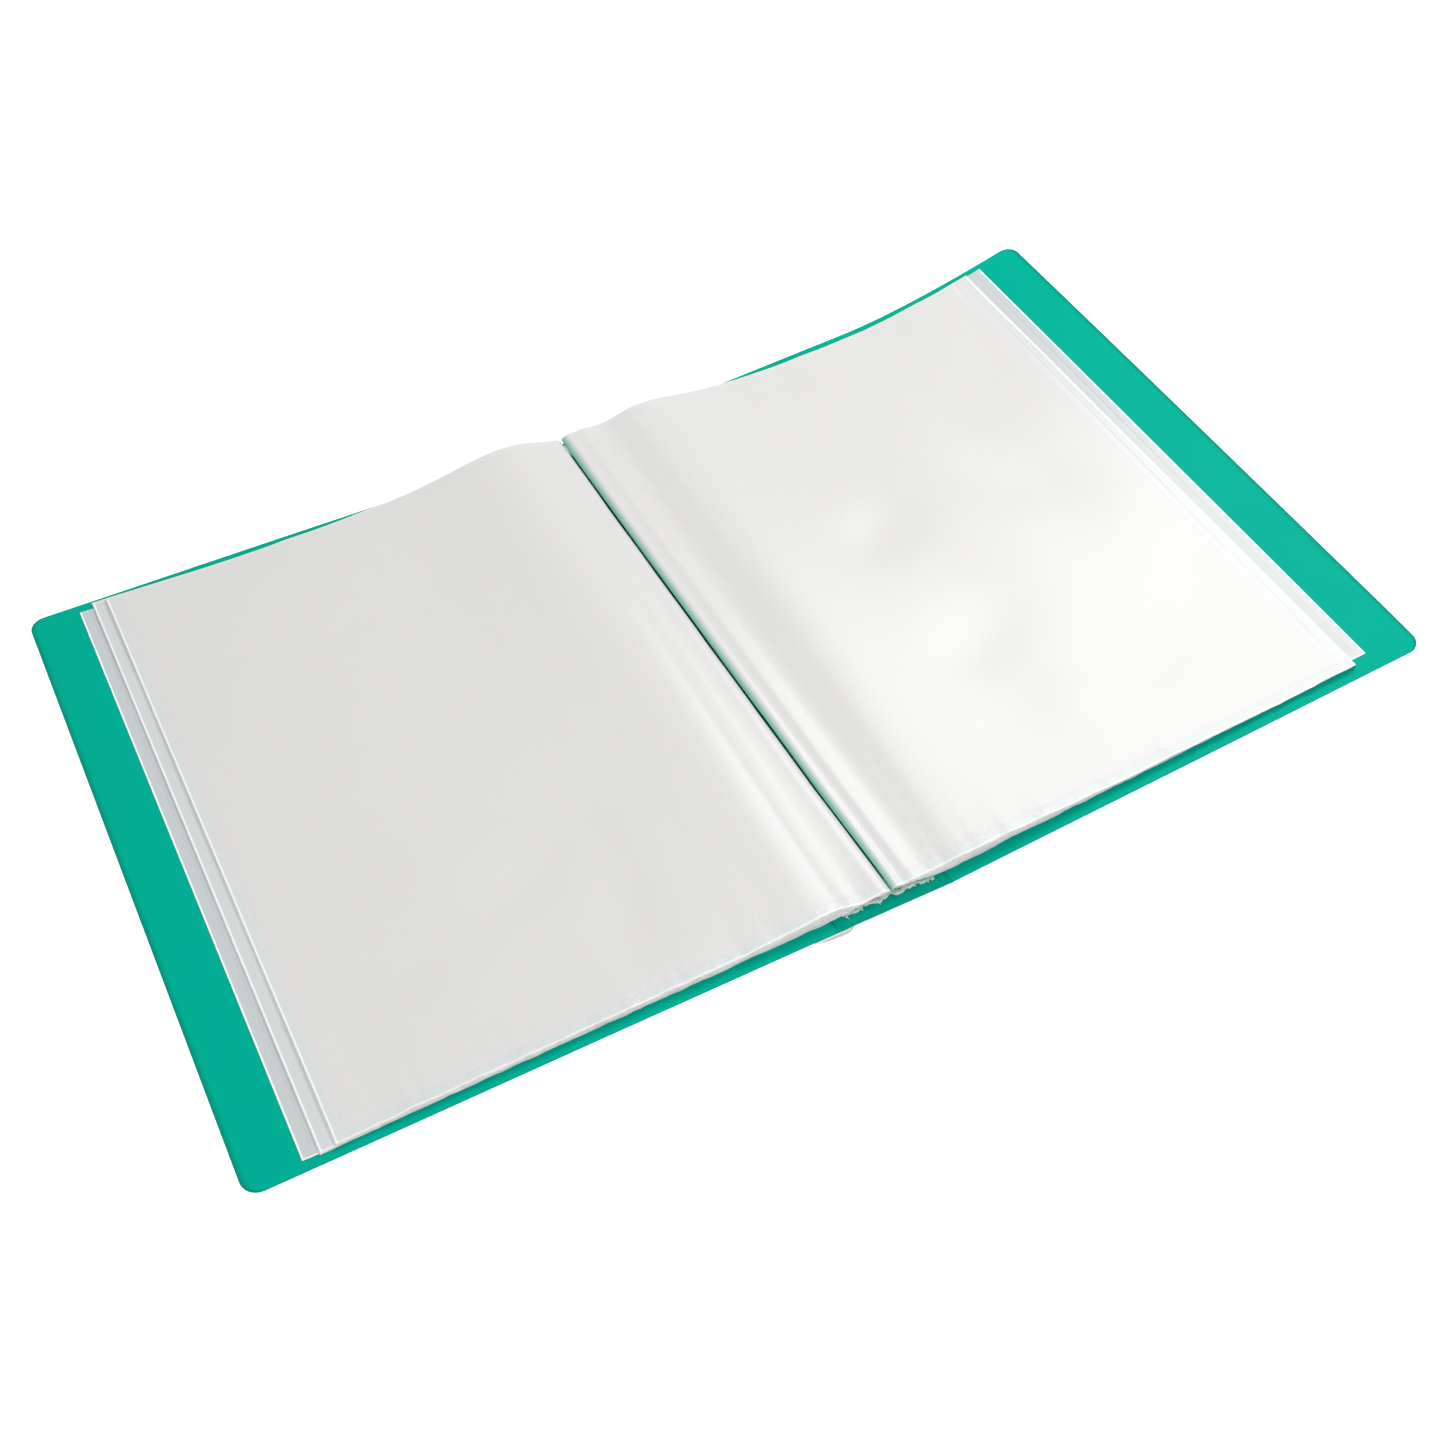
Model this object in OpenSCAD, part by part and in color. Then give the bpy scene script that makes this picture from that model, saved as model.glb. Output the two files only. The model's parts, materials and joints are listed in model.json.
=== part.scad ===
// Display book with clear pockets, lying open at its middle: a one-piece plastic cover with a
// spine between two creases, and four bundles of pockets, each fused along a seam on the spine.
// Millimetres. X runs across the open book from the front cover to the back cover, Y along the
// spine towards the pockets' mouths, Z up. The origin is on the table, under the spine's middle.

/* [Cover sheet] */
// Width of each cover, from its crease to its outer edge
cover_w = 234; // [180:1:260]
// Height of the covers and the spine, along the creases
cover_h = 310; // [304:1:330]
// Width of the spine, from crease to crease
spine_w = 51; // [46:1:60]
// Thickness of the sheet
sheet_t = 0.7; // [0.5:0.1:0.9]
// Radius of the covers' outer corners
corner_r = 7; // [2:0.5:15]

/* [Resting position] */
// Height of the spine's underside above the table
spine_lift = 3; // [2:0.1:5]
// Angle of the back cover above level
back_tilt = 8.5; // [5:0.5:10]

/* [Pockets] */
// Width of a pocket, from its seam to its outer edge
pocket_w = 222; // [200:1:226]
// Height of a pocket, from its closed bottom to its mouth
pocket_h = 300; // [297:1:303]
// Thickness of one film, of the two that make a pocket
film_t = 0.04; // [0.03:0.01:0.05]
// Distance between two pockets that lie on each other
pocket_pitch = 0.12; // [0.11:0.01:0.14]
// Step between the outer edges of two pockets that lie on each other
edge_step = 0.55; // [0.2:0.05:0.8]

/* [Spine seams] */
// Distance between two seams
seam_pitch = 10; // [9:0.5:10.5]
// Width of a seam's bead at its foot
seam_w = 1.6; // [1:0.1:2.4]
// Length of a seam
seam_len = 296; // [280:1:300]

/* [Spine label] */
// Width of the label's sleeve, with its two welded flanges
sleeve_w = 49; // [44:1:49]
// Thickness of the sleeve's film
sleeve_t = 0.2; // [0.15:0.05:0.3]
// Width of the label card
card_w = 36; // [30:1:37]
// Thickness of the label card
card_t = 0.3; // [0.2:0.05:0.4]

/* [Hidden] */
bundle_pockets = 10;
bundles = 4;
pockets = bundle_pockets * bundles;

// The creases: the sheet's middle, at the two edges of the spine
crease_u = spine_w / 2;
crease_z = spine_lift + sheet_t / 2;
crease_web_t = 0.3;       // the sheet is scored down to this
crease_bead_r = 0.25;     // the fold itself, a round line on the crease's axis
cover_gap = 0.3;          // from a crease's axis to the cover's own edge
spine_gap = 0.45;         // from a crease's axis to the spine's own edge
front_drop = asin(spine_lift / cover_w);    // the front cover's outer edge lies on the table

// The seams and the pockets' roots
seam_u = [seam_pitch / 2, 3 * seam_pitch / 2];    // inner and outer seam of one side
spine_top = spine_lift + sheet_t;
seam_h = 1.3;
root_z = spine_top + seam_h + 0.3;    // underside of a bundle at its root
root_gap = 0.2;                       // from a seam's middle to the root of its pockets
pocket_t = 2 * film_t;
bundle_t = (bundle_pockets - 1) * pocket_pitch + pocket_t;
seat_gap = 0.15;                      // between a bundle and what it lies on
foot_u = 32;                          // where the pockets come down on the cover

// The sleeve hangs below the spine, down to the table
flange_w = 2.7;
sleeve_foot_u = 19;
sleeve_len = 300;
card_len = 292;

sheet_colour = [0.0, 0.68, 0.58];
film_colour = [0.92, 0.94, 0.95, 0.7];

function pocket_name(i) = str("pocket_", i < 10 ? "0" : "", i);

// Angle of a side's cover above level; side -1 is the front, 1 the back
function cover_angle(side) = side < 0 ? -front_drop : back_tilt;

// Height of a cover's upper face at a distance u from the middle of the spine
function cover_top(side, u) =
    crease_z + (u - crease_u) * tan(cover_angle(side)) + sheet_t / 2 / cos(cover_angle(side));

// Pocket i counts from the front cover. Bundles 1 and 4 are outer, 2 and 3 lie over them.
function bundle_of(i) = floor((i - 1) / bundle_pockets) + 1;
function side_of(i) = bundle_of(i) <= bundles / 2 ? -1 : 1;
function is_inner(i) = bundle_of(i) == 2 || bundle_of(i) == 3;
function layer_of(i) =
    side_of(i) < 0 ? (i - 1) % bundle_pockets : bundle_pockets - 1 - (i - 1) % bundle_pockets;

// Underside of a bundle's lowest pocket, as [distance from the middle, height] points: from the
// root, over the outer bundle's root if it is an inner one, down to the cover and out along it
function bundle_line(side, inner, length) =
    let (u0 = seam_u[inner ? 0 : 1],
         over = inner ? bundle_t + seat_gap : 0,
         foot_z = cover_top(side, foot_u) + seat_gap + over,
         run = length - (foot_u - u0),
         a = cover_angle(side))
    concat(
        [[u0 + root_gap, root_z]],
        inner ? [[seam_u[1] + root_gap, root_z + over]] : [],
        [[foot_u, foot_z], [foot_u + run * cos(a), foot_z + run * sin(a)]]);

function raised(points, dz) = [for (p = points) [p[0], p[1] + dz]];
function reversed(points) = [for (k = [len(points) - 1:-1:0]) points[k]];
// A thin strip of thickness t that stands on a line of points
function strip(points, t) = concat(points, reversed(raised(points, t)));

module on_side(side) {
    if (side > 0) children();
    else mirror([1, 0, 0]) children();
}

// Extrudes an outline drawn in X and Z along Y, the same distance both ways
module along_y(length) {
    rotate([90, 0, 0]) translate([0, 0, -length / 2]) linear_extrude(length) children();
}

module cover_outline() {
    straight = cover_h / 2 - corner_r;
    translate([cover_gap, -straight]) square([cover_w - cover_gap, 2 * straight]);
    translate([cover_gap, -cover_h / 2]) square([cover_w - corner_r - cover_gap, cover_h]);
    for (end = [-1, 1])
        translate([cover_w - corner_r, end * straight]) circle(r = corner_r, $fn = 64);
}

module cover(side) {
    color(sheet_colour)
    on_side(side) translate([crease_u, 0, crease_z]) rotate([0, -cover_angle(side), 0])
        translate([0, 0, -sheet_t / 2]) linear_extrude(sheet_t) cover_outline();
}

module spine_panel() {
    width = spine_w - 2 * spine_gap;
    color(sheet_colour)
    translate([-width / 2, -cover_h / 2, spine_lift]) cube([width, cover_h, sheet_t]);
}

// The scored fold: a thin web from the spine's edge to a round line on the crease's axis
module crease(side) {
    color(sheet_colour)
    on_side(side) translate([crease_u, 0, crease_z]) {
        rotate([90, 0, 0]) cylinder(r = crease_bead_r, h = cover_h, center = true, $fn = 32);
        translate([-spine_gap, -cover_h / 2, -crease_web_t / 2])
            cube([spine_gap, cover_h, crease_web_t]);
    }
}

// Clear film under the spine, welded along both edges, slack enough to reach the table
module label_sleeve() {
    edge = sleeve_w / 2;
    flange_z = spine_lift - sleeve_t;
    line = [[-edge, flange_z], [-edge + flange_w, flange_z], [-sleeve_foot_u, 0],
            [sleeve_foot_u, 0], [edge - flange_w, flange_z], [edge, flange_z]];
    color(film_colour)
    along_y(sleeve_len) polygon(strip(line, sleeve_t));
}

module label_card() {
    color("white")
    translate([-card_w / 2, -card_len / 2, sleeve_t + 0.1]) cube([card_w, card_len, card_t]);
}

// Bead of fused film that holds one bundle to the spine
module seam(i) {
    outer = i == 1 || i == bundles;
    color(film_colour)
    on_side(i <= bundles / 2 ? -1 : 1) translate([seam_u[outer ? 1 : 0], 0, spine_top])
        along_y(seam_len)
        polygon([[-seam_w / 2, 0], [seam_w / 2, 0], [seam_w / 4, seam_h], [-seam_w / 4, seam_h]]);
}

module pocket(i) {
    layer = layer_of(i);
    line = bundle_line(side_of(i), is_inner(i), pocket_w - layer * edge_step);
    color(film_colour)
    on_side(side_of(i)) along_y(pocket_h)
        polygon(strip(raised(line, layer * pocket_pitch), pocket_t));
}

cover(-1);  // front_cover
spine_panel();
cover(1);  // back_cover
crease(-1);  // front_crease
crease(1);  // back_crease
label_sleeve();
label_card();
for (i = [1:bundles]) seam(i);
for (i = [1:pockets]) pocket(i);
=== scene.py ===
import json
import math

import bpy
import numpy as np
from mathutils import Matrix, Vector


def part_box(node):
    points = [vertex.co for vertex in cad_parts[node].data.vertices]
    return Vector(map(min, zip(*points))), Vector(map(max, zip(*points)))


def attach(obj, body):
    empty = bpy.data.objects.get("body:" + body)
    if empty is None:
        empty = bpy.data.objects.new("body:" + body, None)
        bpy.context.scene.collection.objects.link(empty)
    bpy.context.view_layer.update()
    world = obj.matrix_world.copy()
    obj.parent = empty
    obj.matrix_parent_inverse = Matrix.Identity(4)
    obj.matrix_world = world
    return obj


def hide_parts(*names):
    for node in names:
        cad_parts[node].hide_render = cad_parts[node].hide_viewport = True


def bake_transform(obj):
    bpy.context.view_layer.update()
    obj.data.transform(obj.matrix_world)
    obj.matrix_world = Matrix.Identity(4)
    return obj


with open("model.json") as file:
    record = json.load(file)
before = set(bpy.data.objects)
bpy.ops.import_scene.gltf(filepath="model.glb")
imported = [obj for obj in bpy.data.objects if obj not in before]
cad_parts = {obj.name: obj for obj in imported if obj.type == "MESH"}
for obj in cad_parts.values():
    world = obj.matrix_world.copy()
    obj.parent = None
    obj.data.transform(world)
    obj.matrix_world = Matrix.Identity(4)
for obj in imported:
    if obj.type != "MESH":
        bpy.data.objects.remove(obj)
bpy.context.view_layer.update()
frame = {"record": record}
mm = 0.001


def middleOf(node):
    low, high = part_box(node)
    return (low + high) / 2 / mm


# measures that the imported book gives, in mm
creaseX = middleOf("back_crease").x
creaseZ = middleOf("back_crease").z
frontReach = -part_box("front_cover")[0].x / mm      # outer edge of the flat front cover
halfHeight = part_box("front_cover")[1].y / mm
spineLow, spineHigh = (corner.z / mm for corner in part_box("spine_panel"))
sheetThick = spineHigh - spineLow
seamCentres = {n: middleOf(f"seam_{n}").x for n in (1, 2, 3, 4)}
seamLow, seamHigh = (corner.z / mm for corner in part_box("seam_1"))
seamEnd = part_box("seam_1")[1].y / mm
print("frame loaded, height", round(2 * halfHeight), "mm")


# camera
cameraSetup = {
    "position": (-249.8, -475.4, 564.5),
    "aim": (-15.24, -40.4, 3.35),
    "roll": 0.74,
    "lens": 44.335,
    "sensor": 36,
    "clip": (0.01, 50),
}


def makeCamera(setup):
    data = bpy.data.cameras.new("camera")
    data.lens = setup["lens"]
    data.sensor_width = setup["sensor"]
    data.clip_start, data.clip_end = setup["clip"]
    camera = bpy.data.objects.new("camera", data)
    bpy.context.scene.collection.objects.link(camera)
    place = Vector(setup["position"]) * mm
    back = (place - Vector(setup["aim"]) * mm).normalized()
    right = Vector((0, 0, 1)).cross(back).normalized()
    up = back.cross(right)
    turn = math.radians(setup["roll"])
    right, up = (right * math.cos(turn) + up * math.sin(turn),
                 up * math.cos(turn) - right * math.sin(turn))
    camera.matrix_world = Matrix((
        (right.x, up.x, back.x, place.x),
        (right.y, up.y, back.y, place.y),
        (right.z, up.z, back.z, place.z),
        (0, 0, 0, 1)))
    bpy.context.scene.camera = camera


makeCamera(cameraSetup)


# material helpers
def colour(hexText):
    parts = [int(hexText[i:i + 2], 16) / 255 for i in (0, 2, 4)]
    linear = [p / 12.92 if p <= 0.04045 else ((p + 0.055) / 1.055) ** 2.4 for p in parts]
    return (*linear, 1.0)


def addNode(tree, kind, values=None, links=None, **settings):
    node = tree.nodes.new(kind)
    for name, value in settings.items():
        setattr(node, name, value)
    for name, value in (values or {}).items():
        node.inputs[name].default_value = value
    for name, source in (links or {}).items():
        tree.links.new(source, node.inputs[name])
    return node


def newMaterial(name):
    material = bpy.data.materials.new(name)
    material.use_nodes = True
    material.node_tree.nodes.clear()
    return material, material.node_tree


polypropyleneIor = 1.49

# extruded polypropylene sheet: satin, dense teal, with the faint grain of the chilled roller
coverLook = {
    "teal": "00B398",
    "deepTeal": "00AC92",
    # darker teal for the sheet's cut edges, also used as painted shade along the crease groove
    "edgeAndCreaseShadeTeal": "009079",
    "roughness": 0.46,
    "roughnessSpread": 0.05,
    "specular": 0.018,     # kept low: the sheet's fine grain scatters nearly all it mirrors
    "grainMm": 0.9,        # the real grain is about 0.2 mm, drawn coarser so that it shows
    "grainBump": 0.12,
    "grainDepthMm": 0.1,
    "cloudMm": 60,         # slow drift of the pigment
}


def makeCoverMaterial(look):
    material, tree = newMaterial("tealPolypropyleneSheet")
    place = addNode(tree, "ShaderNodeTexCoord")
    cloud = addNode(tree, "ShaderNodeTexNoise", {"Scale": 1000 / look["cloudMm"], "Detail": 2.0},
                    {"Vector": place.outputs["Object"]})
    grain = addNode(tree, "ShaderNodeTexNoise", {"Scale": 1000 / look["grainMm"], "Detail": 3.0},
                    {"Vector": place.outputs["Object"]})
    edge = addNode(tree, "ShaderNodeAttribute", attribute_name="edge")
    body = addNode(tree, "ShaderNodeMix", {6: colour(look["teal"]), 7: colour(look["deepTeal"])},
                   {0: cloud.outputs["Fac"]}, data_type="RGBA")
    # the edge attribute darkens the cut edges, and along the crease it paints shade into the teal
    cut = addNode(tree, "ShaderNodeMix", {7: colour(look["edgeAndCreaseShadeTeal"])},
                  {0: edge.outputs["Fac"], 6: body.outputs[2]}, data_type="RGBA")
    rough = addNode(tree, "ShaderNodeMapRange",
                    {"To Min": look["roughness"] - look["roughnessSpread"],
                     "To Max": look["roughness"] + look["roughnessSpread"]},
                    {"Value": grain.outputs["Fac"]})
    bump = addNode(tree, "ShaderNodeBump", {"Strength": look["grainBump"], "Distance": look["grainDepthMm"] * mm},
                   {"Height": grain.outputs["Fac"]})
    shader = addNode(tree, "ShaderNodeBsdfPrincipled",
                     {"Specular IOR Level": look["specular"], "IOR": polypropyleneIor},
                     {"Base Color": cut.outputs[2], "Roughness": rough.outputs[0], "Normal": bump.outputs[0]})
    addNode(tree, "ShaderNodeOutputMaterial", {}, {"Surface": shader.outputs[0]})
    return material


# clear polypropylene film: milky from its cast surface, with long soft mirror lights and fused, greyer weld strips
filmLook = {
    "milk": "F5F4F3",
    "weldGrey": "EEF1F1",
    # painted highlight: the cut edges are drawn white for the light they catch
    "edgeHighlightWhite": "FFFFFF",
    "spineShineMint": "5CCBB0",  # painted light: the teal spine shining through the films beside the gutter, mixed into their colour
    "roughness": 0.27,
    "specular": 0.45,
    "alpha": 0.72,
    "weldAlpha": 0.78,
    "orangePeelMm": 7,     # shallow unevenness of the cast film
    "veilBlue": "C3CED3",  # a single leaf, through which the sheet below shows
    "edgeHighlightGlow": 0.16,       # painted highlight: emission on the cut edges, standing in for the light that clear film pipes to its edges
    "puckerMm": 2.6,       # fine crinkles that the heat of the weld draws into the film
}


def makeFilmMaterial(name, look):
    material, tree = newMaterial(name)
    place = addNode(tree, "ShaderNodeTexCoord")
    weld = addNode(tree, "ShaderNodeAttribute", attribute_name="weld")
    rim = addNode(tree, "ShaderNodeAttribute", attribute_name="edge")
    peel = addNode(tree, "ShaderNodeTexNoise", {"Scale": 1000 / look["orangePeelMm"], "Detail": 1.0},
                   {"Vector": place.outputs["Object"]})
    fused = addNode(tree, "ShaderNodeMix", {6: colour(look["milk"]), 7: colour(look["weldGrey"])},
                    {0: weld.outputs["Fac"]}, data_type="RGBA")
    # painted highlight: white mixed in on the cut edges through the edge attribute
    edgeHighlighted = addNode(tree, "ShaderNodeMix", {7: colour(look["edgeHighlightWhite"])},
                     {0: rim.outputs["Fac"], 6: fused.outputs[2]}, data_type="RGBA")
    # painted light: the fold attribute mixes in the mint of the teal spine shining through
    fold = addNode(tree, "ShaderNodeAttribute", attribute_name="fold")
    tinted = addNode(tree, "ShaderNodeMix", {7: colour(look["spineShineMint"])},
                     {0: fold.outputs["Fac"], 6: edgeHighlighted.outputs[2]}, data_type="RGBA")
    veil = addNode(tree, "ShaderNodeAttribute", attribute_name="veil")
    veiled = addNode(tree, "ShaderNodeMix", {7: colour(look["veilBlue"])},
                     {0: veil.outputs["Fac"], 6: tinted.outputs[2]}, data_type="RGBA")
    # painted highlight: the glow attribute drives emission on the cut edges
    lit = addNode(tree, "ShaderNodeAttribute", attribute_name="glow")
    glow = addNode(tree, "ShaderNodeMapRange", {"To Max": look["edgeHighlightGlow"]}, {"Value": lit.outputs["Fac"]})
    cover = addNode(tree, "ShaderNodeMapRange", {"To Min": look["alpha"], "To Max": look["weldAlpha"]},
                    {"Value": weld.outputs["Fac"]})
    crinkle = addNode(tree, "ShaderNodeTexNoise",
                      {"Scale": 1000 / look["puckerMm"], "Detail": 2.0, "Distortion": 0.6},
                      {"Vector": place.outputs["Object"]})
    drawn = addNode(tree, "ShaderNodeAttribute", attribute_name="pucker")
    relief = addNode(tree, "ShaderNodeBump", {"Distance": 0.0004},
                     {"Height": crinkle.outputs["Fac"], "Strength": drawn.outputs["Fac"]})
    bump = addNode(tree, "ShaderNodeBump", {"Strength": 0.05, "Distance": 0.0003},
                   {"Height": peel.outputs["Fac"], "Normal": relief.outputs[0]})
    shader = addNode(tree, "ShaderNodeBsdfPrincipled",
                     {"Roughness": look["roughness"], "IOR": polypropyleneIor,
                      "Specular IOR Level": look["specular"], "Emission Color": (1, 1, 1, 1)},
                     {"Base Color": veiled.outputs[2], "Emission Strength": glow.outputs[0],
                      "Alpha": cover.outputs[0], "Normal": bump.outputs[0]})
    addNode(tree, "ShaderNodeOutputMaterial", {}, {"Surface": shader.outputs[0]})
    return material


coverMaterial = makeCoverMaterial(coverLook)
filmMaterial = makeFilmMaterial("castPolypropyleneFilm", filmLook)
weldMaterial = makeFilmMaterial("fusedPolypropyleneFilm",
                                {**filmLook, "milk": "F0F6F4", "roughness": 0.35, "alpha": 0.7})
sleeveMaterial = makeFilmMaterial("clearSleeveFilm",
                                  {**filmLook, "milk": "9E998A", "roughness": 0.18, "alpha": 0.88})

# uncoated card: dead matt, slightly warm, with faint fibre cloudiness
cardLook = {"paper": "EFEDE4", "fibre": "E4E1D6", "fibreMm": 1.5}


def makeCardMaterial(look):
    material, tree = newMaterial("uncoatedCard")
    place = addNode(tree, "ShaderNodeTexCoord")
    fibre = addNode(tree, "ShaderNodeTexNoise", {"Scale": 1000 / look["fibreMm"], "Detail": 6.0},
                    {"Vector": place.outputs["Object"]})
    paper = addNode(tree, "ShaderNodeMix", {6: colour(look["paper"]), 7: colour(look["fibre"])},
                    {0: fibre.outputs["Fac"]}, data_type="RGBA")
    bump = addNode(tree, "ShaderNodeBump", {"Strength": 0.2, "Distance": 0.00005}, {"Height": fibre.outputs["Fac"]})
    shader = addNode(tree, "ShaderNodeBsdfPrincipled", {"Roughness": 0.9, "Specular IOR Level": 0.3},
                     {"Base Color": paper.outputs[2], "Normal": bump.outputs[0]})
    addNode(tree, "ShaderNodeOutputMaterial", {}, {"Surface": shader.outputs[0]})
    return material


cardMaterial = makeCardMaterial(cardLook)
print("materials made")


# mesh helpers
def makeObject(name, points, faces, material, attributes=None, sharpAngle=40):
    mesh = bpy.data.meshes.new(name)
    mesh.from_pydata((np.asarray(points, float) * mm).tolist(), [], faces)
    mesh.materials.append(material)
    for key, values in (attributes or {}).items():
        layer = mesh.attributes.new(key, "FLOAT", "POINT")
        layer.data.foreach_set("value", np.asarray(values, np.float32).ravel())
    mesh.validate()
    mesh.shade_smooth()
    mesh.set_sharp_from_angle(angle=math.radians(sharpAngle))
    piece = bpy.data.objects.new(name, mesh)
    bpy.context.scene.collection.objects.link(piece)
    return piece


def gridFaces(rows, columns, offset=0, flip=False):
    faces = []
    for r in range(rows - 1):
        for c in range(columns - 1):
            a = offset + r * columns + c
            quad = (a, a + 1, a + columns + 1, a + columns)
            faces.append(quad[::-1] if flip else quad)
    return faces


def gridRim(rows, columns):
    rim = [c for c in range(columns)]
    rim += [r * columns + columns - 1 for r in range(1, rows)]
    rim += [(rows - 1) * columns + c for c in range(columns - 2, -1, -1)]
    rim += [r * columns for r in range(rows - 2, 0, -1)]
    return rim


def gridNormals(grid):
    alongColumns = np.gradient(grid, axis=1)
    alongRows = np.gradient(grid, axis=0)
    normals = np.cross(alongColumns, alongRows)
    normals /= np.linalg.norm(normals, axis=2, keepdims=True)
    if normals[..., 2].mean() < 0:
        normals = -normals
    return normals


def closedSheet(name, grid, thick, material, chamfer=0.0, squareColumn=None, attributes=None):
    rows, columns = grid.shape[:2]
    normals = gridNormals(grid)
    facing = np.cross(np.gradient(grid, axis=1), np.gradient(grid, axis=0))[..., 2].mean() > 0
    middle, normal = grid.reshape(-1, 3), normals.reshape(-1, 3)
    top, bottom = middle + normal * thick / 2, middle - normal * thick / 2
    rim = gridRim(rows, columns)
    ring = middle[rim]
    along = np.roll(ring, -1, axis=0) - np.roll(ring, 1, axis=0)
    outward = np.cross(along, normal[rim])
    outward /= np.linalg.norm(outward, axis=1, keepdims=True)
    if not facing:
        outward = -outward
    inset = np.full(len(rim), chamfer)
    if squareColumn is not None:      # an end that butts against the next piece of the same sheet
        ends = {r * columns + (squareColumn % columns) for r in range(rows)}
        inset = np.array([0.0 if i in ends else chamfer for i in rim])
    upper, lower = top[rim].copy(), bottom[rim].copy()
    if chamfer:
        upper -= normal[rim] * chamfer
        lower += normal[rim] * chamfer
        top[rim] -= outward * inset[:, None]
        bottom[rim] -= outward * inset[:, None]
    count, edgeCount = rows * columns, len(rim)
    faces = gridFaces(rows, columns, 0, not facing) + gridFaces(rows, columns, count, facing)
    if chamfer:
        points = np.vstack([top, bottom, upper, lower])
        loops = [rim, list(range(2 * count, 2 * count + edgeCount)),
                 list(range(2 * count + edgeCount, 2 * count + 2 * edgeCount)), [count + i for i in rim]]
    else:
        points = np.vstack([top, bottom])
        loops = [rim, [count + i for i in rim]]
    for upperLoop, lowerLoop in zip(loops, loops[1:]):
        for i in range(edgeCount):
            j = (i + 1) % edgeCount
            quad = (upperLoop[i], lowerLoop[i], lowerLoop[j], upperLoop[j])
            faces.append(quad if facing else quad[::-1])
    layers = {}
    for key, values in (attributes or {}).items():
        flat = np.asarray(values, float).ravel()
        layers[key] = np.concatenate([flat, flat] + ([flat[rim], flat[rim]] if chamfer else []))
    return makeObject(name, points, faces, material, layers)


# the cover sheet's shape; heights are over the spine's middle plane, in mm
coverShape = {
    "frontDrop": math.degrees(math.asin(3 / 234)),      # it leans from the spine down to its outer edge
    "backTilt": 5.3,
    "curlHeight": 14.4,      # at the far outer corner of the back cover
    "curlFrom": 160.0,
    "curlShorten": 3.0,
    "shortenFrom": 140.0,
    "corner": 7.0,
    "grooveDepth": 0.3,
    "grooveWidth": 0.75,
    "chamfer": 0.14,
    "innerEdge": creaseX - 1.2,      # where a cover sheet meets the spine sheet
    "foldHalf": 0.7,
    "rows": 90,
    "columns": 96,
}
backSlope = math.tan(math.radians(coverShape["backTilt"]))
frontSlope = math.tan(math.radians(coverShape["frontDrop"]))
backReach = creaseX + (frontReach - creaseX) * math.cos(math.radians(coverShape["backTilt"]))


def backHeight(x, t):
    straight = np.clip(x - creaseX, 0, None) * backSlope
    reach = np.clip((x - coverShape["curlFrom"]) / (backReach - coverShape["curlFrom"]), 0, None)
    return straight + coverShape["curlHeight"] * reach ** 1.6 * np.clip(t, 0, 1) ** 0.9


def frontHeight(x, t):
    return -np.clip(-x - creaseX, 0, None) * frontSlope + 0 * t


def sheetWave(side, x, y):
    reach = np.abs(x)
    return 0.12 * np.sin(reach / 41 + 1.3 * side) * np.sin(y / 57 + reach / 90) * np.clip((reach - 40) / 60, 0, 1)


def rowPlaces(corner, rows):
    turn = np.linspace(0, math.pi / 2, 9)
    near = corner * (1 - np.cos(turn))
    middle = np.linspace(corner, 2 * halfHeight - corner, rows)[1:-1]
    return np.concatenate([near, middle, (2 * halfHeight - near)[::-1]])


def coverGrid(side):
    corner = coverShape["corner"]
    inner = coverShape["innerEdge"]
    ys = rowPlaces(corner, coverShape["rows"])
    inCorner = np.clip(corner - np.minimum(ys, 2 * halfHeight - ys), 0, corner)
    cut = corner - np.sqrt(corner ** 2 - inCorner ** 2)      # how far the rounding takes the outer edge back
    foldZone, foldStep = 3.2, 0.2      # finer columns round the crease
    fold = np.arange(0, foldZone, foldStep)
    flat = np.linspace(foldZone, frontReach - inner, coverShape["columns"])
    share = np.concatenate([fold, flat]) / (frontReach - inner)
    reach = frontReach if side < 0 else backReach
    outer = reach - inner - cut
    x = inner + share[None, :] * outer[:, None]
    t = np.repeat((ys / (2 * halfHeight))[:, None], x.shape[1], axis=1)
    if side > 0:
        rest = np.clip((x - coverShape["shortenFrom"]) / (backReach - coverShape["shortenFrom"]), 0, None)
        x = x - coverShape["curlShorten"] * t * rest ** 2
        z = backHeight(x, t)
    else:
        z = frontHeight(-x, t)
    groove = np.exp(-((x - creaseX) / coverShape["grooveWidth"]) ** 2)
    z = z - groove * coverShape["grooveDepth"] + sheetWave(side, x, ys[:, None])
    edge = np.zeros_like(x)
    edge[:, -1] = edge[0, :] = edge[-1, :] = 1
    # the crease groove takes 0.8 of the darker edge teal: painted shade along the crease
    edge = np.maximum(edge, 0.8 * groove)
    grid = np.stack([side * x, ys[:, None] - halfHeight + 0 * x, z + creaseZ], axis=2)
    return grid, edge


for side, name, nodes, body in ((-1, "frontCoverSheet", ("front_cover", "front_crease"), "front_cover"),
                                (1, "backCoverSheet", ("back_cover", "back_crease"), "back_cover")):
    grid, edge = coverGrid(side)
    sheet = closedSheet(name, grid, sheetThick, coverMaterial, coverShape["chamfer"], 0, {"edge": edge})
    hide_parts(*nodes)
    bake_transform(sheet)

spineX = np.linspace(-coverShape["innerEdge"], coverShape["innerEdge"], 49)
spineY = np.linspace(0, 2 * halfHeight, 63)
spineGrid = np.stack(np.broadcast_arrays(spineX[None, :], spineY[:, None] - halfHeight, creaseZ),
                     axis=2).astype(float)
spineEdge = np.zeros(spineGrid.shape[:2])
spineEdge[0, :] = spineEdge[-1, :] = 1
spineSheet = closedSheet("spineSheet", spineGrid, sheetThick, coverMaterial, 0.0, None, {"edge": spineEdge})
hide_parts("spine_panel")
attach(spineSheet, "spine")
print("cover sheets made")


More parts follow.
